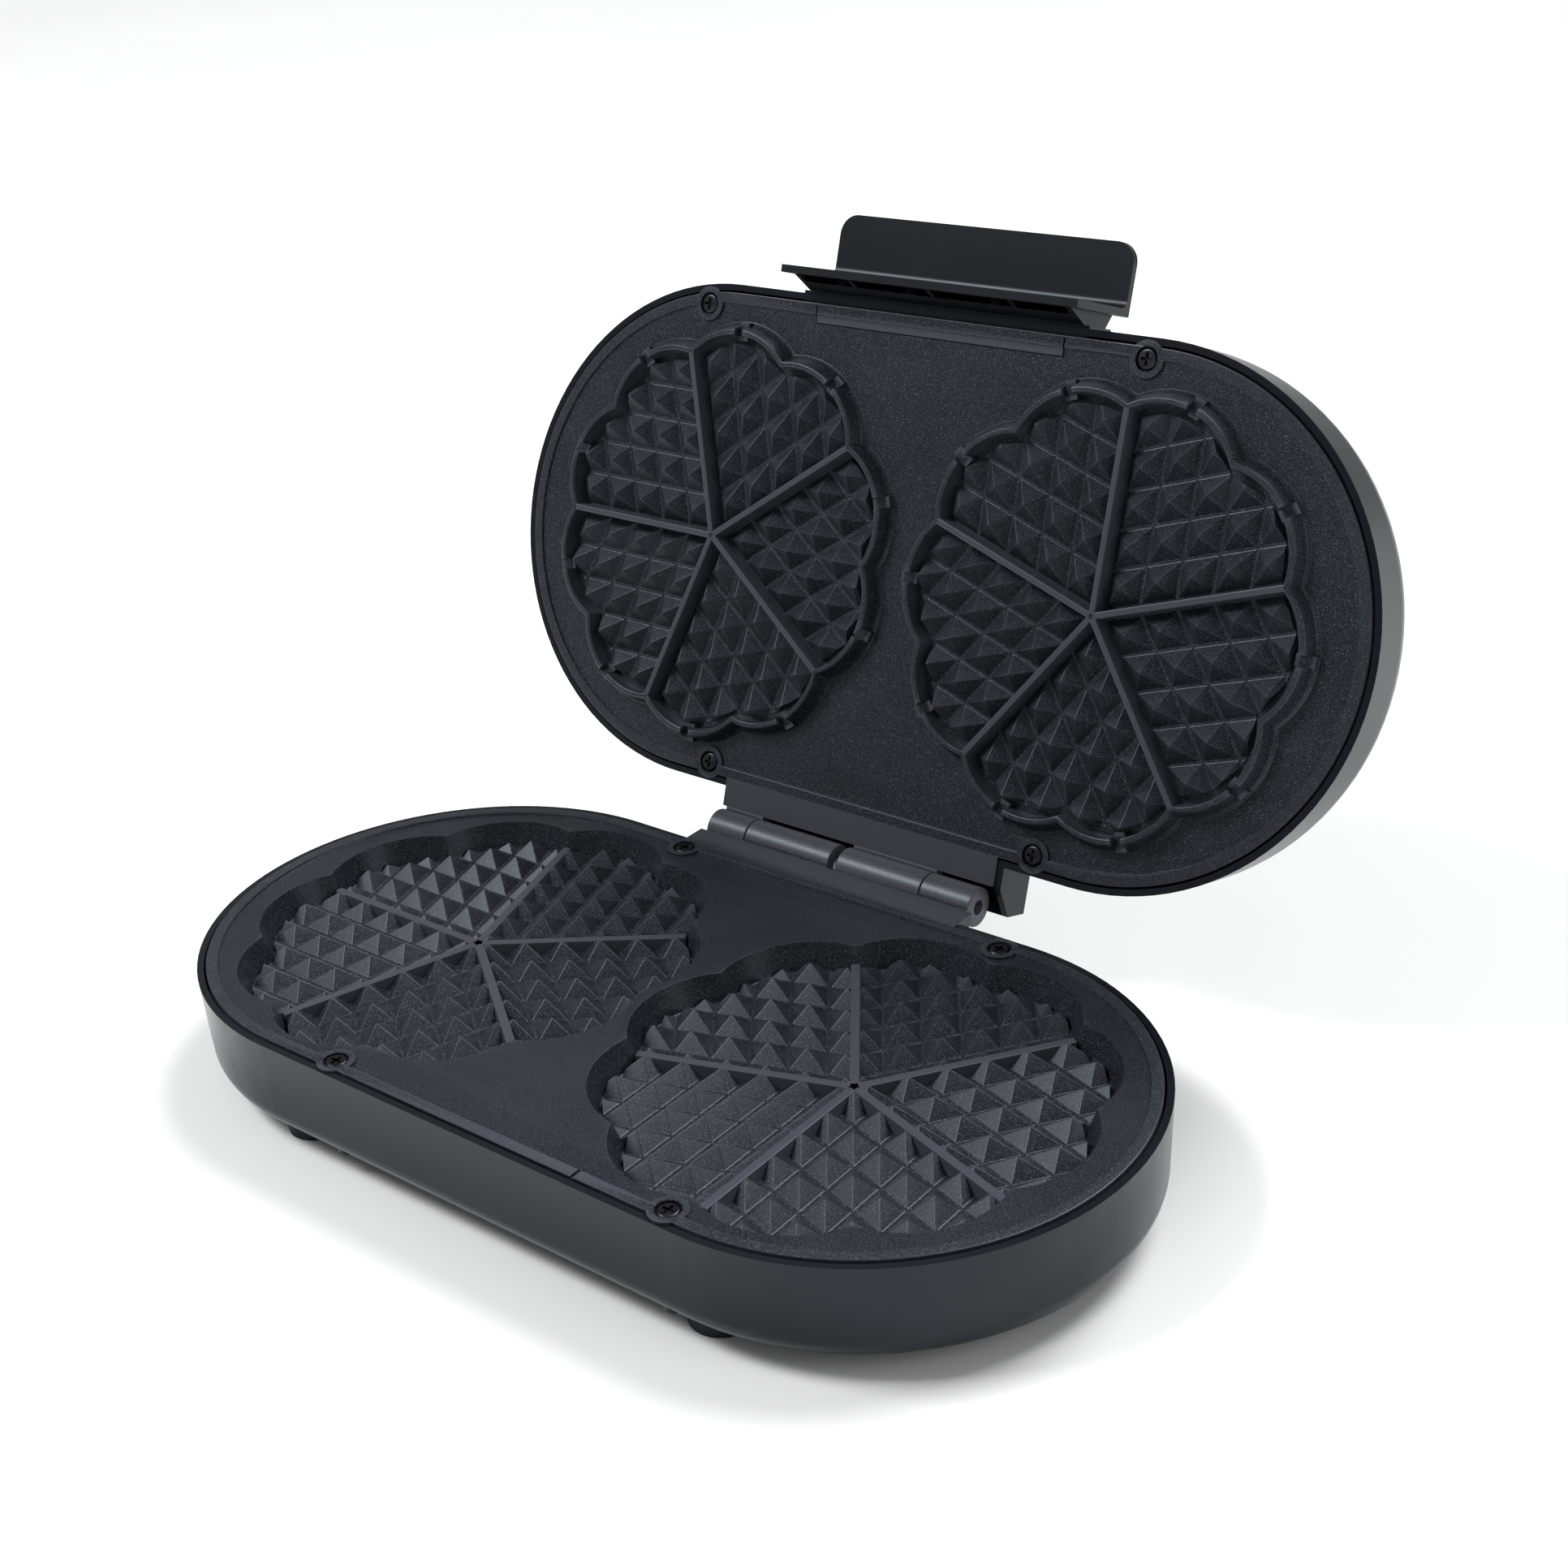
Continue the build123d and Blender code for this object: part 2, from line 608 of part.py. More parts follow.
# Domed cover with the hinge hood, posts for the plate screws and holes for the lamp lenses
with BuildPart() as lid_housing:
    with BuildSketch(Plane.XY.offset(upper_shell_bottom)):
        SlotCenterToCenter(2 * end_centre, 2 * end_radius)
    extrude(amount=lid_top - upper_shell_bottom, taper=draft_angle)
    fillet(lid_housing.faces().sort_by(Axis.Z)[-1].edges(), lid_corner)
    with BuildSketch(Plane.YZ.offset(hood_left)):
        with BuildLine():
            Polyline(
                (end_radius - 2 * wall, hood_under),
                (hood_back, hood_under),
                (hood_back, hood_top),
                (end_radius - 2 * wall, hood_top),
                close=True,
            )
        make_face()
    extrude(amount=hood_right - hood_left)
    with BuildSketch(Plane.YZ.offset(hood_right - wall)):
        with BuildLine():
            Polyline(
                (end_radius - 2 * wall, upper_shell_bottom),
                (flange_back + 1, upper_shell_bottom),
                (hood_back, hood_under),
                (hood_back, hood_under + wall),
                (end_radius - 2 * wall, hood_under + wall),
                close=True,
            )
        make_face()
    extrude(amount=wall)
    with Locations((hood_left + wall, end_radius + wall / 2, hood_under - wall)):
        Box(
            hood_right - hood_left - 2 * wall,
            hood_back - wall - end_radius - wall / 2,
            hood_top - hood_under,
            align=(Align.MIN, Align.MIN, Align.MIN),
            mode=Mode.SUBTRACT,
        )
    with Locations((hinge_flange_left - hinge_gap, end_radius - 2 * wall, upper_shell_bottom - wall)):
        Box(
            hinge_flange_right - hinge_flange_left + 2 * hinge_gap,
            4 * wall,
            upper_back + hinge_gap - upper_shell_bottom + wall,
            align=(Align.MIN, Align.MIN, Align.MIN),
            mode=Mode.SUBTRACT,
        )
    add(lid_cavity.part, mode=Mode.SUBTRACT)
    with BuildSketch(Plane.XY.offset(upper_back)):
        with Locations(*upper_screw_places):
            Circle(post_radius)
    extrude(amount=upper_post_height)
    with BuildSketch(Plane.XY.offset(upper_reflector_z)):
        with Locations(*pillar_places):
            Circle(pillar_radius)
    extrude(amount=lid_ceiling + wall / 2 - upper_reflector_z)
    with Locations((0, -end_radius - pad_depth, handle_pad_bottom)):
        Box(
            2 * (handle_half_width - 2),
            pad_depth + 2 * wall - 1,
            handle_pad_height,
            align=(Align.CENTER, Align.MIN, Align.MIN),
        )
    with BuildSketch(Plane.XY.offset(upper_back - 1)):
        with Locations(*upper_screw_places):
            Circle(screw_hole_radius)
    extrude(amount=screw_length, mode=Mode.SUBTRACT)
    with BuildSketch(Plane.XZ.offset(end_radius + 2 * pad_depth)):
        with Locations(*[(x, handle_screw_z) for x in handle_screw_places]):
            Circle(screw_hole_radius)
    extrude(amount=-4 * wall, mode=Mode.SUBTRACT)
    with BuildSketch(Plane.XY.offset(lid_top + 1)):
        with Locations((power_lens_x, lens_y), (ready_lens_x, lens_y)):
            Circle(lens_radius + running_clearance)
    extrude(amount=-2 * wall, mode=Mode.SUBTRACT)

lid_housing.part = lid_housing.part.rotate(hinge_axis, -open_angle)
lid_housing.part.label = "lid_housing"
export_step(lid_housing.part, "parts/lid_housing.step")

# Cast plate with two raised lobed rings, split into hearts full of pyramids.
# Its rear flange carries the turning hinge barrels.
with BuildPart() as upper_plate:
    with BuildSketch(Plane.XY.offset(upper_plane - lip_height)):
        SlotCenterToCenter(2 * end_centre, 2 * plate_radius)
    extrude(amount=plate_thickness + lip_height)
    with BuildSketch(Plane.XY.offset(upper_plane)):
        SlotCenterToCenter(2 * end_centre, 2 * lip_inner)
        with Locations(*upper_screw_places):
            Circle(boss_radius, mode=Mode.SUBTRACT)
    extrude(amount=-2 * lip_height, mode=Mode.SUBTRACT)
    for centre, turn in waffles:
        with BuildSketch(Plane((centre, 0, upper_plane))):
            with BuildLine():
                lobe_arcs(ring_foot_cusp, ring_bulge, turn, lobes)
            make_face()
        with BuildSketch(Plane((centre, 0, upper_plane - ring_height))):
            with BuildLine():
                lobe_arcs(ring_top_cusp, ring_bulge, turn, lobes)
            make_face()
        loft(ruled=True)
        with BuildSketch(Plane((centre, 0, upper_plane))):
            with BuildLine():
                lobe_arcs(ring_top_cusp - ring_width, ring_bulge, turn, lobes)
            make_face()
        extrude(amount=-2 * ring_height, mode=Mode.SUBTRACT)
        with BuildSketch(Plane((centre, 0, upper_plane - ring_height))):
            for lobe in range(lobes):
                with Locations(Rotation(0, 0, turn + (lobe + 0.5) * lobe_angle)):
                    with Locations((ring_foot_cusp, 0)):
                        Rectangle(2 * overflow_bar_length, overflow_bar_width)
        extrude(amount=ring_height - overflow_bar_height, mode=Mode.SUBTRACT)
        with BuildSketch(Plane((centre, 0, upper_plane))):
            for lobe in range(lobes):
                with Locations(Rotation(0, 0, turn + (lobe + 0.5) * lobe_angle)):
                    with Locations((ring_foot_cusp + 1, 0)):
                        Rectangle(overflow_bar_length, overflow_bar_width)
        extrude(amount=-overflow_bar_height)
        for heart in range(hearts):
            with Locations(Location((centre, 0, upper_plane), (0, 0, turn + heart * heart_angle))):
                add(upper_field)
        with BuildSketch(Plane((centre, 0, upper_plane + 1))):
            for heart in range(hearts):
                with Locations(Rotation(0, 0, turn + heart * heart_angle)):
                    Rectangle(ring_top_cusp - 1, divider_width, align=(Align.MIN, Align.CENTER))
        extrude(amount=-ring_height - 1)
    with BuildSketch(Plane.XY.offset(upper_plane + head_sink)):
        with Locations(*upper_screw_places):
            Circle(recess_radius)
    extrude(amount=-head_sink - 2 * lip_height, mode=Mode.SUBTRACT)
    with BuildSketch(Plane.XY.offset(upper_plane)):
        with Locations(*upper_screw_places):
            Circle(screw_hole_radius)
    extrude(amount=2 * plate_thickness, mode=Mode.SUBTRACT)
    with BuildSketch(Plane((-terminal_gap, terminal_stop, upper_element_z), z_dir=(0, 1, 0))):
        Circle(element_radius + running_clearance)
    sweep(path=upper_element_path.wires()[0], mode=Mode.SUBTRACT)
    with Locations((hinge_flange_left, plate_radius - lip_width, upper_plane - lip_height)):
        Box(
            hinge_flange_right - hinge_flange_left,
            hinge_y - barrel_radius - flange_back_gap - plate_radius + lip_width,
            plate_thickness + lip_height,
            align=(Align.MIN, Align.MIN, Align.MIN),
        )
    for start, stop in (lid_knuckle_left, lid_knuckle_right):
        with Locations((start, flange_back - web_inset, upper_plane - lip_height)):
            Box(
                stop - start,
                barrel_radius,
                plate_thickness + lip_height,
                align=(Align.MIN, Align.MIN, Align.MIN),
            )
        with BuildSketch(Plane.YZ.offset(start)):
            with Locations((hinge_y, hinge_z)):
                Circle(barrel_radius)
        extrude(amount=stop - start)
    with BuildSketch(Plane.YZ.offset(lid_knuckle_left[0] + web_inset / 2)):
        with Locations((hinge_y, hinge_z)):
            Circle(pin_radius + running_clearance)
    extrude(amount=lid_knuckle_right[1] - lid_knuckle_left[0] + 1, mode=Mode.SUBTRACT)

upper_plate.part = upper_plate.part.rotate(hinge_axis, -open_angle)
upper_plate.part.label = "upper_plate"
export_step(upper_plate.part, "parts/upper_plate.step")

# Sheathed heating element clamped to the back of the upper plate
with BuildPart() as upper_heating_element:
    with BuildSketch(Plane((-terminal_gap, terminal_stop, upper_element_z), z_dir=(0, 1, 0))):
        Circle(element_radius)
    sweep(path=upper_element_path.wires()[0])

upper_heating_element.part = upper_heating_element.part.rotate(hinge_axis, -open_angle)
upper_heating_element.part.label = "upper_heating_element"
export_step(upper_heating_element.part, "parts/upper_heating_element.step")

# A cold pin and spade tab on each end of the upper element
with BuildPart() as upper_element_terminals:
    with Locations(*[(x, terminal_stop, upper_element_z) for x in (-terminal_gap, terminal_gap)]):
        Cylinder(pin_size[0], pin_size[1], rotation=(90, 0, 0), align=(Align.CENTER, Align.CENTER, Align.MIN))
    with Locations(*[(x, tab_y, upper_element_z) for x in (-terminal_gap, terminal_gap)]):
        Box(*tab_size)

upper_element_terminals.part = upper_element_terminals.part.rotate(hinge_axis, -open_angle)
upper_element_terminals.part.label = "upper_element_terminals"
export_step(upper_element_terminals.part, "parts/upper_element_terminals.step")

# Bright tray above the upper element
with BuildPart() as upper_heat_reflector:
    with BuildSketch(Plane.XY.offset(upper_reflector_z)):
        SlotCenterToCenter(2 * end_centre, 2 * reflector_radius)
    extrude(amount=-reflector_lip)
    with BuildSketch(Plane.XY.offset(upper_reflector_z - reflector_thickness)):
        SlotCenterToCenter(2 * end_centre, 2 * (reflector_radius - reflector_thickness))
    extrude(amount=-reflector_lip, mode=Mode.SUBTRACT)

upper_heat_reflector.part = upper_heat_reflector.part.rotate(hinge_axis, -open_angle)
upper_heat_reflector.part.label = "upper_heat_reflector"
export_step(upper_heat_reflector.part, "parts/upper_heat_reflector.step")

# Four pan-head screws that hold the upper plate
upper_head_seat = upper_plane + head_sink
with BuildPart() as upper_plate_screws:
    with BuildSketch(Plane.XY.offset(upper_head_seat)):
        with Locations(*upper_screw_places):
            Circle(screw_head_radius)
    extrude(amount=-screw_head_height)
    fillet(upper_plate_screws.faces().sort_by(Axis.Z)[:4].edges(), head_round)
    with BuildSketch(Plane.XY.offset(upper_head_seat)):
        with Locations(*upper_screw_places):
            Circle(screw_shank_radius)
    extrude(amount=screw_length - head_sink - 2)
    with BuildSketch(Plane.XY.offset(upper_head_seat - screw_head_height)):
        with Locations(*upper_screw_places):
            Rectangle(cross_span, cross_width)
            Rectangle(cross_width, cross_span)
    extrude(amount=cross_depth, mode=Mode.SUBTRACT)

upper_plate_screws.part = upper_plate_screws.part.rotate(hinge_axis, -open_angle)
upper_plate_screws.part.label = "upper_plate_screws"
export_step(upper_plate_screws.part, "parts/upper_plate_screws.step")

# Front handle: an upright wall, a forward lip and a hollow back with ribs
handle_back = -end_radius - pad_depth - running_clearance
with BuildPart() as handle:
    with BuildSketch(Plane.YZ.offset(-handle_half_width)):
        with BuildLine():
            Polyline(
                (handle_face, handle_bottom),
                (handle_face + handle_wall, handle_bottom),
                (handle_face + handle_wall, handle_top),
                (handle_lip, handle_top),
                (handle_lip, handle_top - handle_wall),
                (handle_face, handle_top - handle_wall),
                close=True,
            )
        make_face()
    extrude(amount=2 * handle_half_width)
    fillet(handle.edges().filter_by(Axis.Z).group_by(Axis.Y)[0], handle_corner)
    inner_corner = handle.edges().filter_by(Axis.X).filter_by_position(
        Axis.Y, handle_face - 0.1, handle_face + 0.1
    )
    fillet(inner_corner.sort_by(Axis.Z)[-1], handle_wall)
    with BuildSketch(Plane.YZ.offset(-handle_body_half)):
        with BuildLine():
            Polyline(
                (handle_face + 1, handle_bottom + handle_wall),
                (handle_face + handle_wall, handle_bottom + handle_wall),
                (handle_back, handle_pad_bottom),
                (handle_back, handle_pad_bottom + handle_pad_height),
                (handle_face + 1, handle_top - handle_wall),
                close=True,
            )
        make_face()
    extrude(amount=2 * handle_body_half)
    for start, stop in handle_bays:
        with BuildSketch(Plane.YZ.offset(start)):
            with BuildLine():
                Polyline(
                    (handle_face + handle_wall, handle_bottom - 1),
                    (handle_back - handle_wall, handle_bottom - 1),
                    (handle_back - handle_wall, handle_pad_bottom + handle_pad_height - handle_wall),
                    (handle_face + handle_wall, handle_pad_bottom + handle_pad_height - handle_wall / 2),
                    close=True,
                )
            make_face()
        extrude(amount=stop - start, mode=Mode.SUBTRACT)
    with BuildSketch(Plane.XZ.offset(-handle_back)):
        with Locations(*[(x, handle_screw_z) for x in handle_screw_places]):
            Circle(post_radius)
    extrude(amount=handle_back - handle_face - handle_wall + 1)
    with BuildSketch(Plane.XZ.offset(-handle_back)):
        with Locations(*[(x, handle_screw_z) for x in handle_screw_places]):
            Circle(screw_hole_radius)
    extrude(amount=handle_back - handle_face - 1, mode=Mode.SUBTRACT)

handle.part = handle.part.rotate(hinge_axis, -open_angle)
handle.part.label = "handle"
export_step(handle.part, "parts/handle.step")

# Screws driven from inside the cover into the handle
handle_head_seat = -end_radius + handle_seat_inset
with BuildPart() as handle_screws:
    with BuildSketch(Plane.XZ.offset(-handle_head_seat)):
        with Locations(*[(x, handle_screw_z) for x in handle_screw_places]):
            Circle(screw_head_radius)
    extrude(amount=-screw_head_height)
    with BuildSketch(Plane.XZ.offset(-handle_head_seat)):
        with Locations(*[(x, handle_screw_z) for x in handle_screw_places]):
            Circle(screw_shank_radius)
    extrude(amount=screw_length - 3)

handle_screws.part = handle_screws.part.rotate(hinge_axis, -open_angle)
handle_screws.part.label = "handle_screws"
export_step(handle_screws.part, "parts/handle_screws.step")

# Snap-disc thermostat on the back of the upper plate
with BuildPart() as thermostat:
    with BuildSketch(Plane((*thermostat_place, upper_back))):
        Circle(thermostat_radius)
        Rectangle(3 * thermostat_radius, thermostat_radius)
    extrude(amount=thermostat_base)
    with BuildSketch(Plane((*thermostat_place, upper_back + 1))):
        Circle(thermostat_radius - 1)
    extrude(amount=thermostat_height)

thermostat.part = thermostat.part.rotate(hinge_axis, -open_angle)
thermostat.part.label = "thermostat"
export_step(thermostat.part, "parts/thermostat.step")

# One-shot thermal fuse with its two leads
fuse_z = upper_back + fuse_radius + running_clearance
with BuildPart() as thermal_fuse:
    with BuildSketch(Plane((fuse_place[0] - fuse_length / 2, fuse_place[1], fuse_z), z_dir=(1, 0, 0))):
        Circle(fuse_radius)
    extrude(amount=fuse_length)
    with BuildSketch(Plane((fuse_place[0] - fuse_length, fuse_place[1], fuse_z), z_dir=(1, 0, 0))):
        Circle(fuse_lead_radius)
    extrude(amount=2 * fuse_length)

thermal_fuse.part = thermal_fuse.part.rotate(hinge_axis, -open_angle)
thermal_fuse.part.label = "thermal_fuse"
export_step(thermal_fuse.part, "parts/thermal_fuse.step")

# Red lens: the mains is on
with BuildPart() as power_lens:
    with BuildSketch(Plane((power_lens_x, lens_y, lid_ceiling - running_clearance))):
        Circle(lens_flange)
    extrude(amount=-lens_flange_thickness)
    with BuildSketch(Plane((power_lens_x, lens_y, lid_ceiling - 1))):
        Circle(lens_radius)
    extrude(amount=lens_rise)
    fillet(power_lens.faces().sort_by(Axis.Z)[-1].edges(), lens_round)

power_lens.part = power_lens.part.rotate(hinge_axis, -open_angle)
power_lens.part.label = "power_lens"
export_step(power_lens.part, "parts/power_lens.step")

# Green lens: the plates are hot
with BuildPart() as ready_lens:
    with BuildSketch(Plane((ready_lens_x, lens_y, lid_ceiling - running_clearance))):
        Circle(lens_flange)
    extrude(amount=-lens_flange_thickness)
    with BuildSketch(Plane((ready_lens_x, lens_y, lid_ceiling - 1))):
        Circle(lens_radius)
    extrude(amount=lens_rise)
    fillet(ready_lens.faces().sort_by(Axis.Z)[-1].edges(), lens_round)

ready_lens.part = ready_lens.part.rotate(hinge_axis, -open_angle)
ready_lens.part.label = "ready_lens"
export_step(ready_lens.part, "parts/ready_lens.step")

# Two neon lamps, one behind each lens
with BuildPart() as indicator_lamps:
    with BuildSketch(Plane.XY.offset(lid_ceiling - lens_flange_thickness - 1)):
        with Locations((power_lens_x, lens_y), (ready_lens_x, lens_y)):
            Circle(lamp_radius)
    extrude(amount=-lamp_height)

indicator_lamps.part = indicator_lamps.part.rotate(hinge_axis, -open_angle)
indicator_lamps.part.label = "indicator_lamps"
export_step(indicator_lamps.part, "parts/indicator_lamps.step")
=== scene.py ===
import json
import math

import bmesh
import bpy
from mathutils import Matrix, Vector


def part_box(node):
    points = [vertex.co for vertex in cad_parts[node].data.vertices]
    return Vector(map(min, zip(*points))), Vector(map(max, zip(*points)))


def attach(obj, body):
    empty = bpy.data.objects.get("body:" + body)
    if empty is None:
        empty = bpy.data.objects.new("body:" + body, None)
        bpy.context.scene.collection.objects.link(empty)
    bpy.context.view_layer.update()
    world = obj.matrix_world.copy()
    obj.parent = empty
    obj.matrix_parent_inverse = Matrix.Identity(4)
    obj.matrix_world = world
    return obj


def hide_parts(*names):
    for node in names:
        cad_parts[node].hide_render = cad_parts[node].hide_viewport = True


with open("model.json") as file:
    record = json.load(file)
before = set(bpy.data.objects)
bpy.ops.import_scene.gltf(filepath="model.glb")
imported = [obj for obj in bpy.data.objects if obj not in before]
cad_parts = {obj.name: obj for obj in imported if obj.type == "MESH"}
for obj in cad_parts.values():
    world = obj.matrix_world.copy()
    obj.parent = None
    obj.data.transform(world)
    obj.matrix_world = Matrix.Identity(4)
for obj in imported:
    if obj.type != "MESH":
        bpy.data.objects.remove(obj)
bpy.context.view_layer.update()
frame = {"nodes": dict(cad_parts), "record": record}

mm = 0.001
plate_low, plate_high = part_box("lower_plate")
shell_rise = 0.2 * mm
plate_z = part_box("base_housing")[1].z - shell_rise
plate_radius = -plate_low.y
end_x = plate_high.x - plate_radius
hinge = frame["record"]["behaviour"]["joints"][0]
hinge_at = Vector(hinge["pos_m"])
parting_gap = 3.0 * mm
upper_z = plate_z + parting_gap
open_angle = math.radians(hinge["range_deg"][1])
swing = Matrix.Translation(hinge_at) @ Matrix.Rotation(-open_angle, 4, "X") @ Matrix.Translation(-hinge_at)
print("plate plane", round(plate_z, 4), "upper plane when shut", round(upper_z, 4))

# %% [markdown]
# ## Finishes
# Real surfaces differ in colour, gloss and relief, and none of the three is even. Painted pictures
# could carry that, but noise nodes stay sharp at any distance and need no files. Small helpers make
# the shader and hand out nodes, so each finish below only says what is special about it.
# %% Helpers for finishes
soft_gloss = 0.30
cold_tint = (0.80, 0.88, 1.0, 1.0)


def finish_tree(name, roughness, metallic=0.0):
    """A material, its node maker and its main shader."""
    material = bpy.data.materials.new(name)
    material.use_nodes = True
    tree = material.node_tree
    shader = tree.nodes["Principled BSDF"]
    shader.inputs["Roughness"].default_value = roughness
    shader.inputs["Metallic"].default_value = metallic
    if metallic == 0.0:
        shader.inputs["Specular Tint"].default_value = cold_tint
    return material, tree, shader


def noise(tree, scale, detail=4.0, roughness=0.6):
    """Noise in the object's own metres."""
    where = tree.nodes.new("ShaderNodeTexCoord")
    node = tree.nodes.new("ShaderNodeTexNoise")
    node.inputs["Scale"].default_value = scale
    node.inputs["Detail"].default_value = detail
    node.inputs["Roughness"].default_value = roughness
    tree.links.new(where.outputs["Object"], node.inputs["Vector"])
    return node.outputs["Fac"]


def ramp(tree, value, stops):
    """A colour ramp over a value."""
    node = tree.nodes.new("ShaderNodeValToRGB")
    while len(node.color_ramp.elements) < len(stops):
        node.color_ramp.elements.new(0.5)
    for element, (place, colour) in zip(node.color_ramp.elements, stops):
        element.position = place
        element.color = (*colour, 1.0)
    tree.links.new(value, node.inputs["Fac"])
    return node.outputs["Color"]


def blend_colours(tree, factor, first, second, mode="MIX"):
    """Mixes two colour outputs by a factor output or number."""
    node = tree.nodes.new("ShaderNodeMix")
    node.data_type = "RGBA"
    node.blend_type = mode
    if hasattr(factor, "links"):
        tree.links.new(factor, node.inputs["Factor"])
    else:
        node.inputs["Factor"].default_value = factor
    tree.links.new(first, node.inputs["A"])
    tree.links.new(second, node.inputs["B"])
    return node.outputs["Result"]


def spread(tree, value, low, high):
    """Maps a 0..1 value to low..high."""
    node = tree.nodes.new("ShaderNodeMapRange")
    node.inputs["To Min"].default_value = low
    node.inputs["To Max"].default_value = high
    tree.links.new(value, node.inputs["Value"])
    return node.outputs["Result"]


def bump(tree, shader, value, strength, depth):
    """Adds fine relief from a value output."""
    node = tree.nodes.new("ShaderNodeBump")
    node.inputs["Strength"].default_value = strength
    node.inputs["Distance"].default_value = depth
    tree.links.new(value, node.inputs["Height"])
    tree.links.new(node.outputs["Normal"], shader.inputs["Normal"])


def painted_highlight_mask(tree):
    """Mask for the painted edge highlight: 1 on convex edges, 0 on flats."""
    # Painted highlight: this mask makes the colour lighter on convex edges.
    node = tree.nodes.new("ShaderNodeNewGeometry")
    return ramp(tree, node.outputs["Pointiness"], [(0.52, (0, 0, 0)), (0.60, (1, 1, 1))])


# %% [markdown]
# ## Non-stick coat
# The plates are cast metal under a dark grey coat with tiny bright flakes. A very fine noise, cut
# hard by a ramp, gives the flakes. A slow noise shifts the grey. Convex edges get a painted highlight:
# the mesh's pointiness, cut by a ramp, makes their colour lighter. The hinge barrels get a lighter
# copy of the same coat, a painted highlight for their shine.
# %% Non-stick coat
def nonstick(name, dark, light, flake, painted_highlight):
    """Dark coat with bright flakes and a painted highlight on convex edges."""
    material, tree, shader = finish_tree(name, 0.36)
    shader.inputs["Specular IOR Level"].default_value = soft_gloss
    slow = ramp(tree, noise(tree, 28.0), [(0.35, dark), (0.7, light)])
    flakes = ramp(tree, noise(tree, 2400.0, 2.0, 0.7), [(0.56, (0, 0, 0)), (0.70, flake)])
    speckled = blend_colours(tree, 1.0, slow, flakes, "ADD")
    # Painted highlight: a lighter colour laid on convex edges.
    edge = tree.nodes.new("ShaderNodeRGB")
    edge.outputs[0].default_value = (*painted_highlight, 1.0)
    coloured = blend_colours(tree, painted_highlight_mask(tree), speckled, edge.outputs[0])
    tree.links.new(coloured, shader.inputs["Base Color"])
    tree.links.new(spread(tree, noise(tree, 900.0, 3.0), 0.28, 0.44), shader.inputs["Roughness"])
    bump(tree, shader, noise(tree, 1700.0, 3.0, 0.7), 0.22, 0.00008)
    return material


# The last colour of each coat is its painted highlight on convex edges.
plate_coat = nonstick("plate_coat", (0.0052, 0.0064, 0.0100), (0.0095, 0.0112, 0.0165), (0.12, 0.123, 0.13),
                      (0.046, 0.049, 0.060))
# A lighter copy of the plate coat: painted highlight on the hinge barrels, with a lighter painted edge
# highlight too.
painted_highlight_hinge_coat = nonstick("painted_highlight_hinge_coat", (0.014, 0.015, 0.020), (0.024, 0.026, 0.032), (0.10, 0.10, 0.11),
                      (0.12, 0.125, 0.14))
print("coats", plate_coat.name, painted_highlight_hinge_coat.name)

# %% [markdown]
# ## Moulded plastic
# The shells are nearly black with a cold tint and a soft gloss; the handle is duller. Both have the
# faint grain of a spark-eroded mould, and slow changes in gloss like wiped fingerprints. One function
# makes them all, because only the colour, the gloss and the grain differ from part to part.
# %% Moulded plastics
def moulded(name, dark, light, rough_low, rough_high, grain=0.10):
    """Plastic with mould grain and uneven gloss."""
    material, tree, shader = finish_tree(name, rough_low)
    shader.inputs["Specular IOR Level"].default_value = soft_gloss
    shade = ramp(tree, noise(tree, 9.0), [(0.3, dark), (0.75, light)])
    tree.links.new(shade, shader.inputs["Base Color"])
    tree.links.new(spread(tree, noise(tree, 22.0, 6.0), rough_low, rough_high), shader.inputs["Roughness"])
    bump(tree, shader, noise(tree, 1800.0, 2.0), grain, 0.00006)
    return material


shell_plastic = moulded("shell_plastic", (0.0035, 0.0040, 0.0060), (0.0060, 0.0068, 0.0098), 0.20, 0.30)
handle_plastic = moulded("handle_plastic", (0.0030, 0.0032, 0.0040), (0.0052, 0.0055, 0.0066), 0.30, 0.42)
foot_rubber = moulded("foot_rubber", (0.008, 0.008, 0.009), (0.016, 0.016, 0.018), 0.62, 0.80, 0.4)
white_moulding = moulded("white_moulding", (0.62, 0.60, 0.54), (0.72, 0.70, 0.64), 0.45, 0.6)
red_plastic = moulded("red_plastic", (0.45, 0.010, 0.012), (0.60, 0.020, 0.020), 0.12, 0.2, 0.03)
green_plastic = moulded("green_plastic", (0.015, 0.32, 0.05), (0.03, 0.42, 0.08), 0.12, 0.2, 0.03)
lamp_glass = moulded("lamp_glass", (0.80, 0.55, 0.35), (0.88, 0.66, 0.45), 0.10, 0.15, 0.02)
print("plastics", shell_plastic.name, handle_plastic.name, foot_rubber.name)

# %% [markdown]
# ## Metals
# Screws are blackened steel, the hinge pins are ground, the element's sheath is browned by heat, and
# the reflectors are bright sheet. They share one tree of fine grain and differ in colour and gloss.
# %% Metals
def metal(name, dark, light, roughness, grain=0.15):
    """Bare or plated metal with fine drawn grain."""
    material, tree, shader = finish_tree(name, roughness, metallic=1.0)
    tree.links.new(ramp(tree, noise(tree, 140.0), [(0.3, dark), (0.7, light)]), shader.inputs["Base Color"])
    rough = spread(tree, noise(tree, 420.0, 5.0), roughness * 0.8, roughness * 1.3)
    tree.links.new(rough, shader.inputs["Roughness"])
    bump(tree, shader, noise(tree, 1600.0), grain, 0.00005)
    return material


screw_black = metal("screw_black", (0.022, 0.022, 0.026), (0.05, 0.05, 0.055), 0.34)
pin_steel = metal("pin_steel", (0.45, 0.45, 0.46), (0.60, 0.60, 0.61), 0.25)
sheath_steel = metal("sheath_steel", (0.20, 0.19, 0.18), (0.36, 0.33, 0.30), 0.4)
bright_sheet = metal("bright_sheet", (0.70, 0.70, 0.71), (0.82, 0.82, 0.83), 0.22)
print("finishes", len(bpy.data.materials))

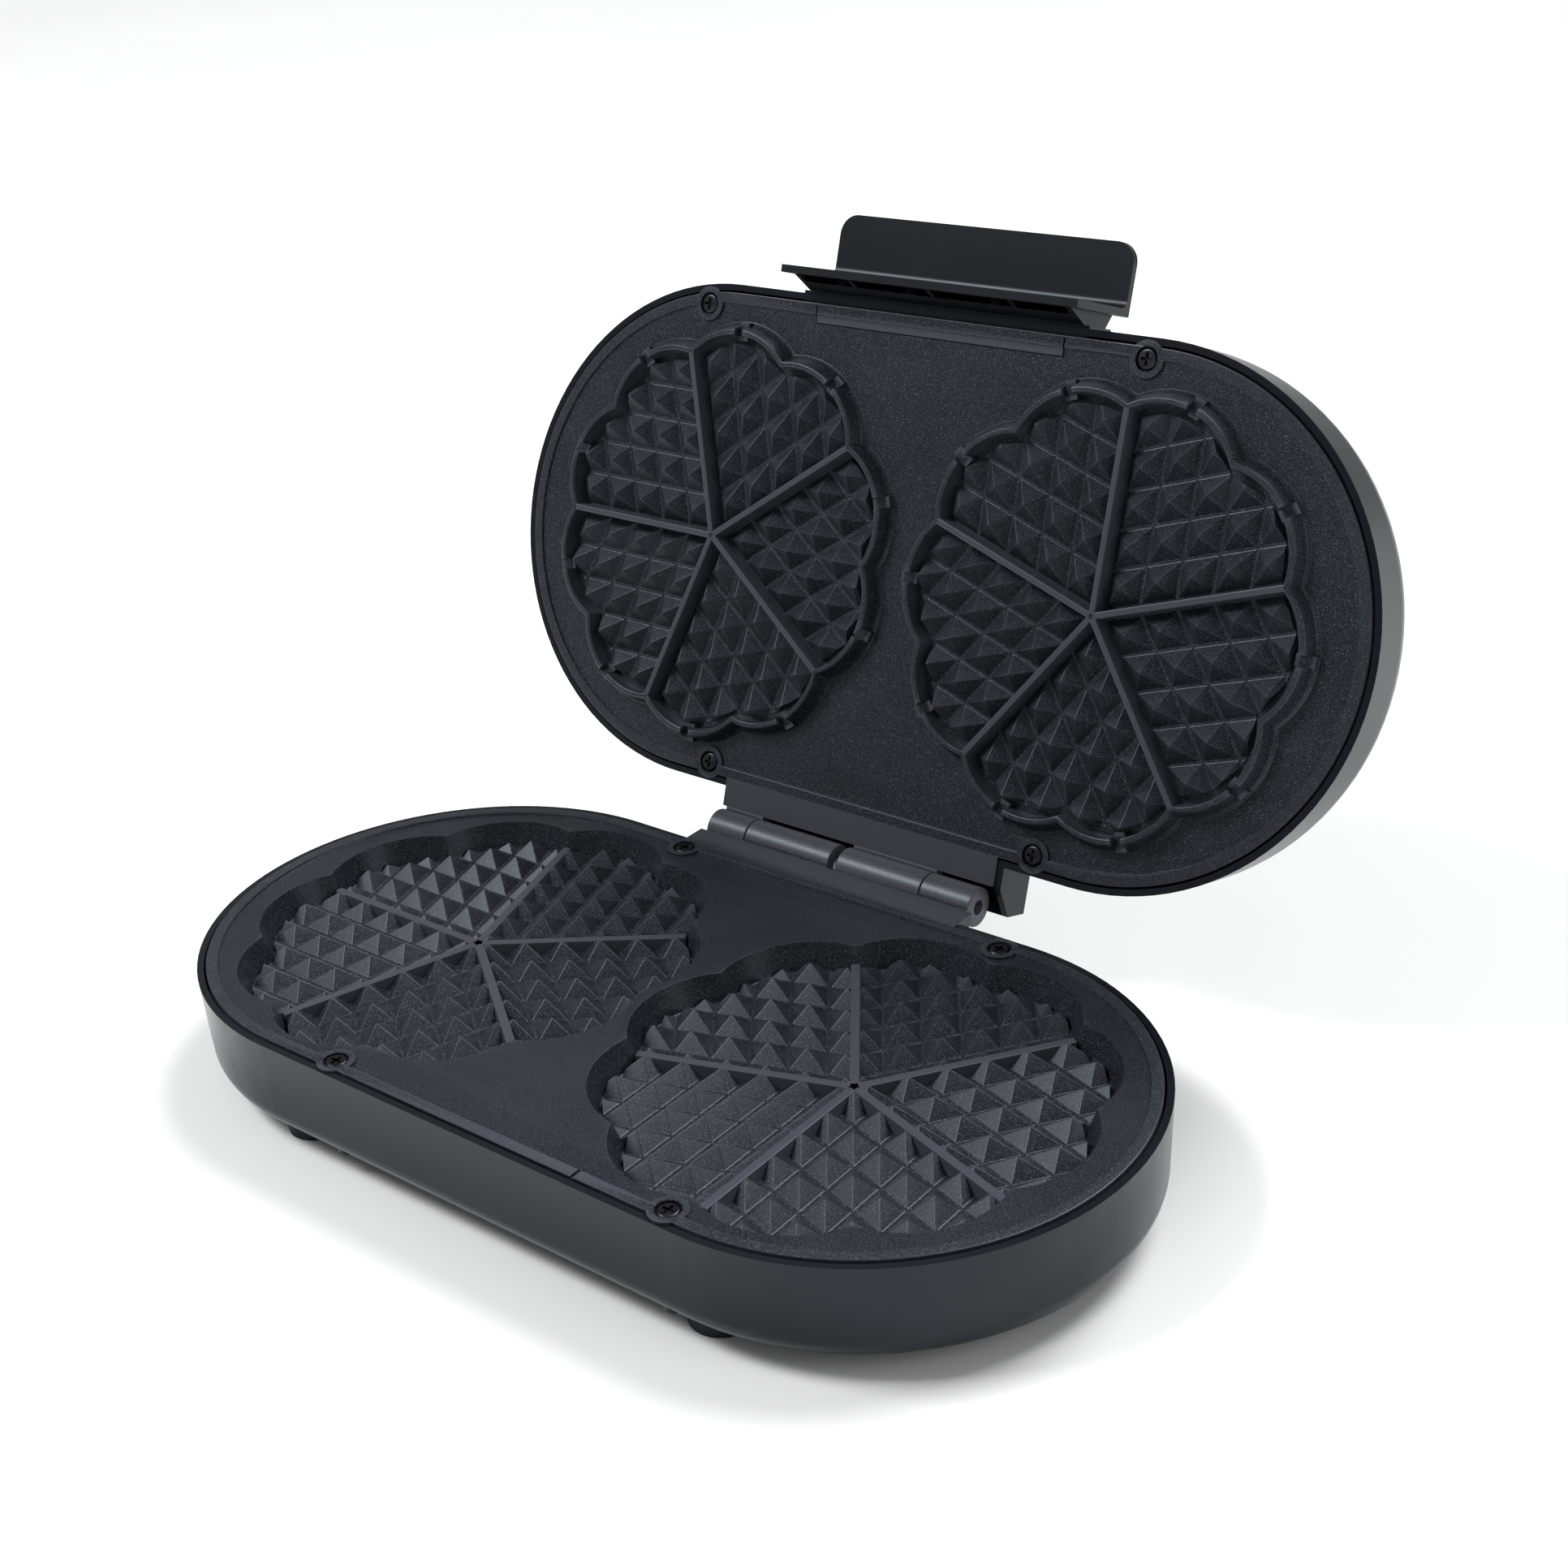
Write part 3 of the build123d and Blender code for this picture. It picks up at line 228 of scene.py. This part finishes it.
# %% [markdown]
# ## Dress the carried-over parts
# The shells, the handle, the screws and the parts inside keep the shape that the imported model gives
# them, so that the picture and the solids agree there. Each one only gets its finish, and smooth
# shading that stops at its crisp edges.
# %% Finish for each carried-over node
finish_of_node = {
    "lower_heating_element": sheath_steel,
    "upper_heating_element": sheath_steel,
    "lower_heat_reflector": bright_sheet,
    "upper_heat_reflector": bright_sheet,
    "lower_element_terminals": pin_steel,
    "upper_element_terminals": pin_steel,
    "foot_screws": screw_black,
    "handle_screws": screw_black,
    "hinge_pin_left": pin_steel,
    "hinge_pin_right": pin_steel,
    "power_inlet_gland": foot_rubber,
    "terminal_block": white_moulding,
    "cord_clamp": white_moulding,
    "thermostat": bright_sheet,
    "thermal_fuse": bright_sheet,
    "power_lens": red_plastic,
    "ready_lens": green_plastic,
    "indicator_lamps": lamp_glass,
    "base_housing": shell_plastic,
    "lid_housing": shell_plastic,
    "handle": handle_plastic,
    "rubber_feet": foot_rubber,
    "lower_plate_screws": screw_black,
    "upper_plate_screws": screw_black,
}


def dress(node, material):
    """Gives a CAD node one finish and smooth shading with crisp edges."""
    piece = frame["nodes"][node]
    piece.data.materials.clear()
    piece.data.materials.append(material)
    piece.data.shade_smooth()
    piece.data.set_sharp_from_angle(angle=math.radians(25))


for node, material in finish_of_node.items():
    dress(node, material)
print("dressed", len(finish_of_node), "nodes")

# %% [markdown]
# ## Rounded edges
# Moulded edges are never knife sharp: a small round catches the light as a thin line. Triangles
# that lie in one plane are joined first, and then only edges that turn sharply are rounded.
# Weighted normals keep the flats flat.
# %% Round the edges
same_plane = math.radians(0.6)
sharp_turn = math.radians(28)


def round_edges(node, width):
    """Joins coplanar triangles, then rounds the sharp edges of one node."""
    piece = frame["nodes"][node]
    flatten = piece.modifiers.new("join_flats", "DECIMATE")
    flatten.decimate_type = "DISSOLVE"
    flatten.angle_limit = same_plane
    rounding = piece.modifiers.new("rounding", "BEVEL")
    rounding.width = width
    rounding.segments = 2
    rounding.limit_method = "ANGLE"
    rounding.angle_limit = sharp_turn
    rounding.use_clamp_overlap = False
    rounding.harden_normals = False
    weighting = piece.modifiers.new("weighted_normals", "WEIGHTED_NORMAL")
    weighting.keep_sharp = True


edge_of_node = {
    "base_housing": 0.30 * mm,
    "lid_housing": 0.30 * mm,
    "handle": 0.40 * mm,
}
for node, width in edge_of_node.items():
    round_edges(node, width)
print("rounded", len(edge_of_node), "nodes")

# %% [markdown]
# ## Plate outlines
# Both plates share two outlines: a round-ended slot and a ring of ten lobes. Drawn as plain loops of
# points, they let every wall, lip and rounded rim be made by stacking loops, and the even faces
# shade cleanly.
# %% Loops and walls
lobes = 10
lobe_turn = math.tau / lobes
pocket_bulge, ring_bulge = 11.4 * mm, 10.4 * mm
weld = 0.001 * mm
waffle_x = 91.5 * mm
waffle_turns = ((waffle_x, -90.0), (-waffle_x, -108.0))


def slot_loop(radius, z, steps=56):
    """A round-ended outline around the whole plate."""
    points = []
    for centre, start in ((end_x, -math.pi / 2), (-end_x, math.pi / 2)):
        for step in range(steps + 1):
            turn = start + math.pi * step / steps
            points.append((centre + radius * math.cos(turn), radius * math.sin(turn), z))
    return points


def lobed_loop(cusp, bulge, z, lobe_count=lobes, steps=12):
    """Outward arcs that meet in cusps, around the origin."""
    chord = cusp * math.sin(lobe_turn / 2)
    radius = (chord ** 2 + bulge ** 2) / (2 * bulge)
    middle = cusp * math.cos(lobe_turn / 2) + bulge - radius
    reach = math.asin(chord / radius)
    points = []
    for lobe in range(lobe_count):
        aim = Matrix.Rotation((lobe + 0.5) * lobe_turn, 3, "Z")
        for step in range(steps):
            part = -reach + 2 * reach * step / steps
            points.append(aim @ Vector((middle + radius * math.cos(part), radius * math.sin(part), z)))
    return points


def stack(body, loops, closed=False):
    """Joins loops of equal length by quads and returns the rows of corners."""
    rows = [[body.verts.new(point) for point in loop] for loop in loops]
    pairs = list(zip(rows, rows[1:]))
    if closed:
        pairs.append((rows[-1], rows[0]))
    for low, high in pairs:
        for i in range(len(low)):
            body.faces.new((low[i - 1], low[i], high[i], high[i - 1]))
    return rows


def fill(body, rows):
    """Fills the flat between an outer row and any hole rows."""
    edges = [body.edges.get((row[i - 1], row[i])) for row in rows for i in range(len(row))]
    bmesh.ops.triangle_fill(body, edges=edges, use_beauty=True)


def as_piece(body, name):
    """Turns a working mesh into an object."""
    bmesh.ops.remove_doubles(body, verts=body.verts, dist=weld)
    bmesh.ops.recalc_face_normals(body, faces=body.faces)
    sheet = bpy.data.meshes.new(name)
    body.to_mesh(sheet)
    body.free()
    piece = bpy.data.objects.new(name, sheet)
    bpy.context.scene.collection.objects.link(piece)
    return piece


def combine(piece, tool, operation):
    """Adds, cuts or keeps the shared volume of two closed meshes."""
    step = piece.modifiers.new("combine", "BOOLEAN")
    step.solver = "MANIFOLD"
    step.operation = operation
    step.object = tool
    bpy.context.view_layer.update()
    graph = bpy.context.evaluated_depsgraph_get()
    result = bpy.data.meshes.new_from_object(piece.evaluated_get(graph))
    piece.modifiers.clear()
    piece.data = result
    bpy.data.objects.remove(tool)
    return piece


def solid_from(outline, low, high, name="tool"):
    """An outline in the plate plane, raised between two heights."""
    body = bmesh.new()
    rows = stack(body, [[(x, y, z) for x, y in outline] for z in (low, high)])
    for row in rows:
        body.faces.new(row)
    return as_piece(body, name)


def disc(x, y, radius, steps=40):
    """A circle as corner points."""
    return [(x + radius * math.cos(math.tau * i / steps), y + radius * math.sin(math.tau * i / steps))
            for i in range(steps)]


print("outline of one waffle has", len(lobed_loop(84.8 * mm, pocket_bulge, 0.0)), "points")

# %% [markdown]
# ## Cast plates
# Each plate is a flat casting with a low rounded lip all round. The lower one sinks into two lobed
# pockets whose walls lean a few degrees, so that the waffle lets go, and whose rims and floors are
# rounded because metal can't be cast sharp. Round bosses carry sunk screws, and a flange runs back
# to the hinge. Bosses and flange are added and recesses cut with exact solid operations. A low pad
# with a thin groove round it marks the middle of the upper plate's front edge.
# %% Bodies of the plates
lip_profile = [(99.6, 0.5), (99.45, 0.85), (99.1, 1.0), (95.6, 1.0), (95.2, 0.85), (95.0, 0.5),
               (94.85, 0.12), (94.5, 0.0)]
lower_back = [(97.0, -4.0), (97.0, -9.0), (99.6, -9.0)]
upper_back = [(99.6, -4.0)]
pocket_profile = [(85.3, 0.0), (84.95, -0.13), (84.8, -0.5), (81.4, -9.6), (80.9, -10.6), (80.0, -11.0)]
cup_profile = [(86.6, -4.0), (82.6, -15.5)]
lower_screws = [(-65.5, 95.0), (89.0, 95.0), (-66.0, -95.0), (89.5, -95.0)]
upper_screws = [(-80.7, 95.0), (80.7, 95.0), (-113.6, -93.8), (93.0, -95.0)]
boss_radius, recess_radius, head_sink = 7.0 * mm, 4.6 * mm, 1.6 * mm
flange = [(-70.0, 95.5), (65.9, 95.5), (65.9, 111.3), (-70.0, 111.3)]
flange_low, flange_high, boss_high = -3.9 * mm, 0.98 * mm, 0.97 * mm


def plate_body(name, back, with_pockets, screws):
    """A plate whose plane is z = 0 and whose face looks up."""
    body = bmesh.new()
    rows = stack(body, [slot_loop(r * mm, z * mm) for r, z in back + lip_profile])
    top_holes, bottom_holes = [], []
    if with_pockets:
        for centre, turn in waffle_turns:
            place = Matrix.Translation((centre, 0, 0)) @ Matrix.Rotation(math.radians(turn), 4, "Z")
            for profile, holes in ((pocket_profile, top_holes), (cup_profile, bottom_holes)):
                loops = [[place @ point for point in lobed_loop(c * mm, pocket_bulge, z * mm)]
                         for c, z in profile]
                wall = stack(body, loops)
                holes.append(wall[0])
                fill(body, [wall[-1]])
    fill(body, [rows[-1]] + top_holes)
    fill(body, [rows[0]] + bottom_holes)
    piece = as_piece(body, name)
    combine(piece, solid_from([(x * mm, y * mm) for x, y in flange], flange_low, flange_high), "UNION")
    for x, y in screws:
        combine(piece, solid_from(disc(x * mm, y * mm, boss_radius), -2 * mm, boss_high), "UNION")
        combine(piece, solid_from(disc(x * mm, y * mm, recess_radius), -head_sink, 3 * mm), "DIFFERENCE")
    return piece


def cut_box(piece, x, y, z, operation="DIFFERENCE"):
    """Cuts or adds a box given by its ranges in millimetres."""
    outline = [(x[i] * mm, y[j] * mm) for i, j in ((0, 0), (1, 0), (1, 1), (0, 1))]
    combine(piece, solid_from(outline, z[0] * mm, z[1] * mm), operation)


lower_body = plate_body("lower_plate_body", lower_back, True, lower_screws)
upper_body = plate_body("upper_plate_body", upper_back, False, upper_screws)
cut_box(lower_body, (51.4, 52.8), (-100.0, -94.0), (0.1, 2.0))
pad_edge, groove_edge = 57.5, 58.2
cut_box(upper_body, (-pad_edge, pad_edge), (-97.2, -92.0), (-0.5, 0.38), "UNION")
cut_box(upper_body, (-groove_edge, groove_edge), (-92.0, -91.5), (-0.45, 1.0))
cut_box(upper_body, (-groove_edge, -pad_edge), (-98.6, -91.5), (-0.45, 2.0))
cut_box(upper_body, (pad_edge, groove_edge), (-98.6, -91.5), (-0.45, 2.0))
print("plate bodies", len(lower_body.data.polygons), len(upper_body.data.polygons), "faces")

# %% [markdown]
# ## Pyramids
# A waffle's cells come from rows of small pyramids. Two families of V grooves cross at the angle of
# one heart, so the pyramids have diamond feet. Every ridge and foot is rounded a little, and one
# field is trimmed to a heart and then repeated five times round each waffle.
# %% One heart of pyramids
hearts = 5
heart_turn = math.tau / hearts
cells = 7
pitch, valley, peak, foot = 14.0 * mm, 1.2 * mm, 6.1 * mm, 0.3 * mm
ridge_round, sole = 0.32 * mm, -1.0 * mm


def heart_of_pyramids(name, first, cusp, bulge):
    """Diamond pyramids between the angles 0 and one heart."""
    body = bmesh.new()

    def corner(along, across, z):
        x = (across + along * math.cos(heart_turn)) / math.sin(heart_turn)
        return body.verts.new((x, along, z))

    ridges = []
    inset = valley / 2
    for row in range(cells):
        for column in range(cells):
            a, b = first + row * pitch, first + column * pitch
            square = [(0, 0), (1, 0), (1, 1), (0, 1)]
            outer = [corner(a + i * pitch, b + j * pitch, foot) for i, j in square]
            inner = [corner(a + inset + i * (pitch - valley), b + inset + j * (pitch - valley), foot)
                     for i, j in square]
            top = corner(a + pitch / 2, b + pitch / 2, peak)
            for i in range(4):
                body.faces.new((outer[i - 1], outer[i], inner[i], inner[i - 1]))
                body.faces.new((inner[i - 1], inner[i], top))
                ridges.append(body.edges.get((inner[i], top)))
                ridges.append(body.edges.get((inner[i - 1], inner[i])))
    bmesh.ops.remove_doubles(body, verts=body.verts, dist=weld)
    ridges = [edge for edge in ridges if edge.is_valid]
    bmesh.ops.bevel(body, geom=ridges, offset=ridge_round, segments=2, profile=0.5, affect="EDGES",
                    clamp_overlap=True)
    border = [edge for edge in body.edges if edge.is_boundary]
    grown = bmesh.ops.extrude_edge_only(body, edges=border)["geom"]
    for item in grown:
        if isinstance(item, bmesh.types.BMVert):
            item.co.z = sole
    bmesh.ops.holes_fill(body, edges=[edge for edge in body.edges if edge.is_boundary], sides=0)
    field = as_piece(body, name)
    arcs = lobed_loop(cusp * mm, bulge, 0.0, lobe_count=2)
    arcs.append(Matrix.Rotation(heart_turn, 3, "Z") @ Vector((cusp * mm, 0, 0)))
    outline = [(0.0, 0.0)] + [(point.x, point.y) for point in arcs]
    return combine(field, solid_from(outline, -0.8 * mm, 8 * mm), "INTERSECT")


lower_heart = heart_of_pyramids("lower_heart", -4.0 * mm, 79.8, pocket_bulge)
upper_heart = heart_of_pyramids("upper_heart", 1.8 * mm, 72.2, ring_bulge)
print("one heart has", len(lower_heart.data.polygons), "and", len(upper_heart.data.polygons), "faces")

# %% [markdown]
# ## Five hearts and their dividers
# Straight ridges between the hearts make the grooves along which a waffle is torn. They are cast
# with a slight taper and a softly rounded top. Both are drawn once and turned about the waffle's
# middle, so all five hearts match and a change to one changes all.
# %% Repeat the hearts and add the dividers
def divider(body, place, reach, low, high, half_width):
    """One tapered ridge with a rounded top, from the centre outwards."""
    shape = [(half_width + 0.5, low), (half_width, high - 0.5), (half_width - 0.15, high - 0.15),
             (half_width - 0.5, high)]
    shape = shape + [(-y, z) for y, z in reversed(shape)]
    ends = [[place @ Vector((x * mm, y * mm, z * mm)) for y, z in shape] for x in (0.0, reach)]
    for row in stack(body, ends):
        body.faces.new(row)


def waffle_fields(name, heart, level, reach, height, half_width):
    """All hearts and dividers of both waffles, standing on a level."""
    body = bmesh.new()
    for centre, turn in waffle_turns:
        for step in range(hearts):
            spin = Matrix.Rotation(math.radians(turn) + step * heart_turn, 4, "Z")
            place = Matrix.Translation((centre, 0, level)) @ spin
            copy = heart.data.copy()
            copy.transform(place)
            body.from_mesh(copy)
            bpy.data.meshes.remove(copy)
            divider(body, place, reach, -0.8, height, half_width)
    bpy.data.objects.remove(heart)
    piece = bpy.data.objects.new(name, bpy.data.meshes.new(name))
    bmesh.ops.recalc_face_normals(body, faces=body.faces)
    body.to_mesh(piece.data)
    body.free()
    bpy.context.scene.collection.objects.link(piece)
    return piece


lower_field = waffle_fields("lower_plate_hearts", lower_heart, -11.0 * mm, 81.6, 5.0, 1.8)
upper_field = waffle_fields("upper_plate_hearts", upper_heart, 0.0, 77.4, 7.0, 1.3)
print("hearts", len(lower_field.data.polygons), len(upper_field.data.polygons), "faces")

# %% [markdown]
# ## Raised rings
# The upper plate carries a thin lobed wall that dips into the pocket and shapes the waffle's edge.
# It flares at its foot, and at the middle of every lobe it is cut down to a low bar, where spare
# batter and steam can escape. One profile is followed round all ten lobes, so they come out alike.
# %% Rings of the upper plate
ring_profile = [(82.2, -0.5), (82.2, 0.05), (81.1, 0.6), (80.4, 1.8), (78.7, 6.3), (78.4, 6.8), (77.9, 7.0),
                (76.7, 7.0), (76.2, 6.8), (75.9, 6.3), (75.4, -0.5)]
half_bar = 2.2
gap_and_bar = (((72, 96), 3.2, 9.0, "DIFFERENCE"), ((80.5, 88.1), -0.5, 3.15, "UNION"))


def lobed_ring(name, centre, turn):
    """One ring with its overflow gaps and bars."""
    body = bmesh.new()
    stack(body, [lobed_loop(c * mm, ring_bulge, z * mm) for c, z in ring_profile], closed=True)
    ring = as_piece(body, name)
    for lobe in range(lobes):
        spin = Matrix.Rotation((lobe + 0.5) * lobe_turn, 3, "Z")
        for (near, far), low, high, operation in gap_and_bar:
            box = [(near, -half_bar), (far, -half_bar), (far, half_bar), (near, half_bar)]
            turned = [spin @ Vector((x * mm, y * mm, 0)) for x, y in box]
            combine(ring, solid_from([(p.x, p.y) for p in turned], low * mm, high * mm), operation)
    ring.data.transform(Matrix.Translation((centre, 0, 0)) @ Matrix.Rotation(math.radians(turn), 4, "Z"))
    return ring


rings = [lobed_ring("upper_ring_" + side, centre, turn)
         for side, (centre, turn) in zip(("right", "left"), waffle_turns)]
print("rings", [len(ring.data.polygons) for ring in rings], "faces")

# %% [markdown]
# ## Hinge barrels
# The barrels are cast on the plates and turned. Their coat is a lighter copy of the plates' coat,
# a painted highlight for their shine. Each is spun about the hinge axis from a profile with rounded
# ends, so it turns in place when the lid moves. A web ties it to its plate, and a last cut clears the
# bore for the pin.
# %% Barrels
barrel_radius, pin_bore = 8.0 * mm, 3.1 * mm
web_front, web_back = 109.0 * mm, 116.0 * mm
web_deep, web_proud = 3.8 * mm, 0.95 * mm
soft, softer = 0.5 * mm, 0.15 * mm
around = 48


def about_hinge(x, radius):
    """A circle of corners round the hinge axis."""
    turns = [math.tau * i / around for i in range(around)]
    return [(x, hinge_at.y + radius * math.cos(turn), hinge_at.z + radius * math.sin(turn))
            for turn in turns]


def barrel(name, start, stop, plane, upward):
    """A bored barrel on the hinge axis with a web to its plate."""
    body = bmesh.new()
    end = [(0.0, pin_bore), (0.0, barrel_radius - soft), (softer, barrel_radius - softer),
           (soft, barrel_radius)]
    profile = [(start + x, r) for x, r in end] + [(stop - x, r) for x, r in reversed(end)]
    stack(body, [about_hinge(x, r) for x, r in profile], closed=True)
    piece = as_piece(body, name)
    outline = [(start, web_front), (stop, web_front), (stop, web_back), (start, web_back)]
    low, high = sorted((plane - upward * web_deep, plane + upward * web_proud))
    combine(piece, solid_from(outline, low, high), "UNION")
    bore = bmesh.new()
    for row in stack(bore, [about_hinge(x, pin_bore) for x in (start - mm, stop + mm)]):
        bore.faces.new(row)
    return combine(piece, as_piece(bore, "bore"), "DIFFERENCE")


lower_barrels = [barrel("base_barrel_" + side, a * mm, b * mm, plate_z, 1)
                 for side, a, b in (("left", -48.0, -5.0), ("right", 40.0, 63.0))]
upper_barrels = [barrel("lid_barrel_" + side, a * mm, b * mm, upper_z, -1)
                 for side, a, b in (("left", -68.0, -48.4), ("right", -1.0, 39.6))]
print("barrels", len(lower_barrels) + len(upper_barrels))

# %% [markdown]
# ## Put the plates in place
# The plates were modelled face up around z = 0. The lower ones rise to the plate plane. The upper
# ones are turned face down, set one parting gap higher and swung open with the lid. Their normals
# are weighted, so broad flats stay flat beside the small rounds.
# %% Place, dress and tie the plates
face_down = Matrix.Scale(-1, 4, (0, 0, 1))
crease = math.radians(38)


def settle(piece, place, node, body, material):
    """Places one plate piece, hides its CAD node and attaches the piece to its body."""
    piece.data.transform(place)
    if place.determinant() < 0:
        piece.data.flip_normals()
    piece.data.materials.clear()
    piece.data.materials.append(material)
    piece.data.shade_smooth()
    piece.data.set_sharp_from_angle(angle=crease)
    weighting = piece.modifiers.new("weighted_normals", "WEIGHTED_NORMAL")
    weighting.keep_sharp = True
    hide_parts(node)
    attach(piece, body)


for piece in (lower_body, lower_field):
    settle(piece, Matrix.Translation((0, 0, plate_z)), "lower_plate", "base", plate_coat)
for piece in (upper_body, upper_field, *rings):
    settle(piece, swing @ Matrix.Translation((0, 0, upper_z)) @ face_down, "upper_plate", "lid", plate_coat)
for piece in lower_barrels:
    settle(piece, Matrix.Identity(4), "lower_plate", "base", painted_highlight_hinge_coat)
for piece in upper_barrels:
    settle(piece, swing, "upper_plate", "lid", painted_highlight_hinge_coat)
print("plates are in place")

# %% [markdown]
# ## Floor and light
# A pale floor curves up behind the object. Square panels stand left and right, so the black plastic
# shows long soft reflections. A broad high light from behind keeps the floor white and lets the
# soft shadow fall towards the viewer.
# %% Studio
def panel_light(name, place, target, size, watts):
    """A square soft light aimed at a point."""
    lamp = bpy.data.lights.new(name, "AREA")
    lamp.shape = "RECTANGLE"
    lamp.size, lamp.size_y = size
    lamp.energy = watts
    holder = bpy.data.objects.new(name, lamp)
    bpy.context.scene.collection.objects.link(holder)
    holder.location = place
    holder.rotation_euler = (Vector(target) - Vector(place)).to_track_quat("-Z", "Y").to_euler()
    return holder


def studio():
    """Floor, backdrop, world and lights."""
    sheet = bpy.data.meshes.new("studio_floor")
    reach, rise, bend, steps = 6.0, 2.2, 1.5, 24
    profile = [(-reach, 0.0)]
    for step in range(steps + 1):
        turn = math.pi / 2 * step / steps
        profile.append((reach - bend + bend * math.sin(turn), bend - bend * math.cos(turn)))
    profile.append((reach, rise))
    points = [(x, y, z) for y, z in profile for x in (-2 * reach, 2 * reach)]
    faces = [(2 * i, 2 * i + 1, 2 * i + 3, 2 * i + 2) for i in range(len(profile) - 1)]
    sheet.from_pydata(points, [], faces)
    sheet.shade_smooth()
    floor = bpy.data.objects.new("studio_floor", sheet)
    bpy.context.scene.collection.objects.link(floor)
    material, tree, shader = finish_tree("studio_white", 0.9)
    tree.links.new(ramp(tree, noise(tree, 1.5), [(0.4, (0.86, 0.86, 0.86)), (0.6, (0.88, 0.88, 0.88))]),
                   shader.inputs["Base Color"])
    sheet.materials.append(material)
    world = bpy.data.worlds.new("studio_air")
    world.use_nodes = True
    world.node_tree.nodes["Background"].inputs["Color"].default_value = (1.0, 1.0, 1.0, 1.0)
    world.node_tree.nodes["Background"].inputs["Strength"].default_value = 0.28
    bpy.context.scene.world = world
    bpy.context.scene.view_settings.view_transform = "Standard"
    panel_light("key_light", (-1.2, -0.9, 1.9), (0, 0, 0.1), (0.8, 0.8), 46)
    panel_light("side_light", (1.7, 0.3, 0.8), (0, 0.05, 0.15), (0.8, 1.2), 7)
    sky = bpy.data.lights.new("high_light", "SUN")
    sky.energy = 3.1
    sky.angle = math.radians(32)
    holder = bpy.data.objects.new("high_light", sky)
    bpy.context.scene.collection.objects.link(holder)
    holder.rotation_euler = Vector((-0.15, -0.75, -1.0)).to_track_quat("-Z", "Y").to_euler()


studio()
print("studio is set")

# %% [markdown]
# ## Camera
# The camera stands in front, to the right and above, so that both pockets and the whole inner face
# of the lid show. A normal lens keeps the round ends natural.
# %% Camera
def place_camera():
    """The camera stands in front, to the right and above."""
    lens_mm, sensor_mm = 50.7, 36.0
    yaw, pitch, roll = 0.6933, -0.4535, -0.0657
    right, front, rise = 0.4851, -0.5007, 0.4214
    camera = bpy.data.cameras.new("camera")
    camera.lens = lens_mm
    camera.sensor_width = sensor_mm
    holder = bpy.data.objects.new("camera", camera)
    turn = Matrix.Rotation(yaw, 4, "Z") @ Matrix.Rotation(math.pi / 2 + pitch, 4, "X")
    turn = turn @ Matrix.Rotation(roll, 4, "Z")
    holder.matrix_world = Matrix.Translation((right, front, plate_z + rise)) @ turn
    bpy.context.scene.collection.objects.link(holder)
    bpy.context.scene.camera = holder


place_camera()
print("camera is set")
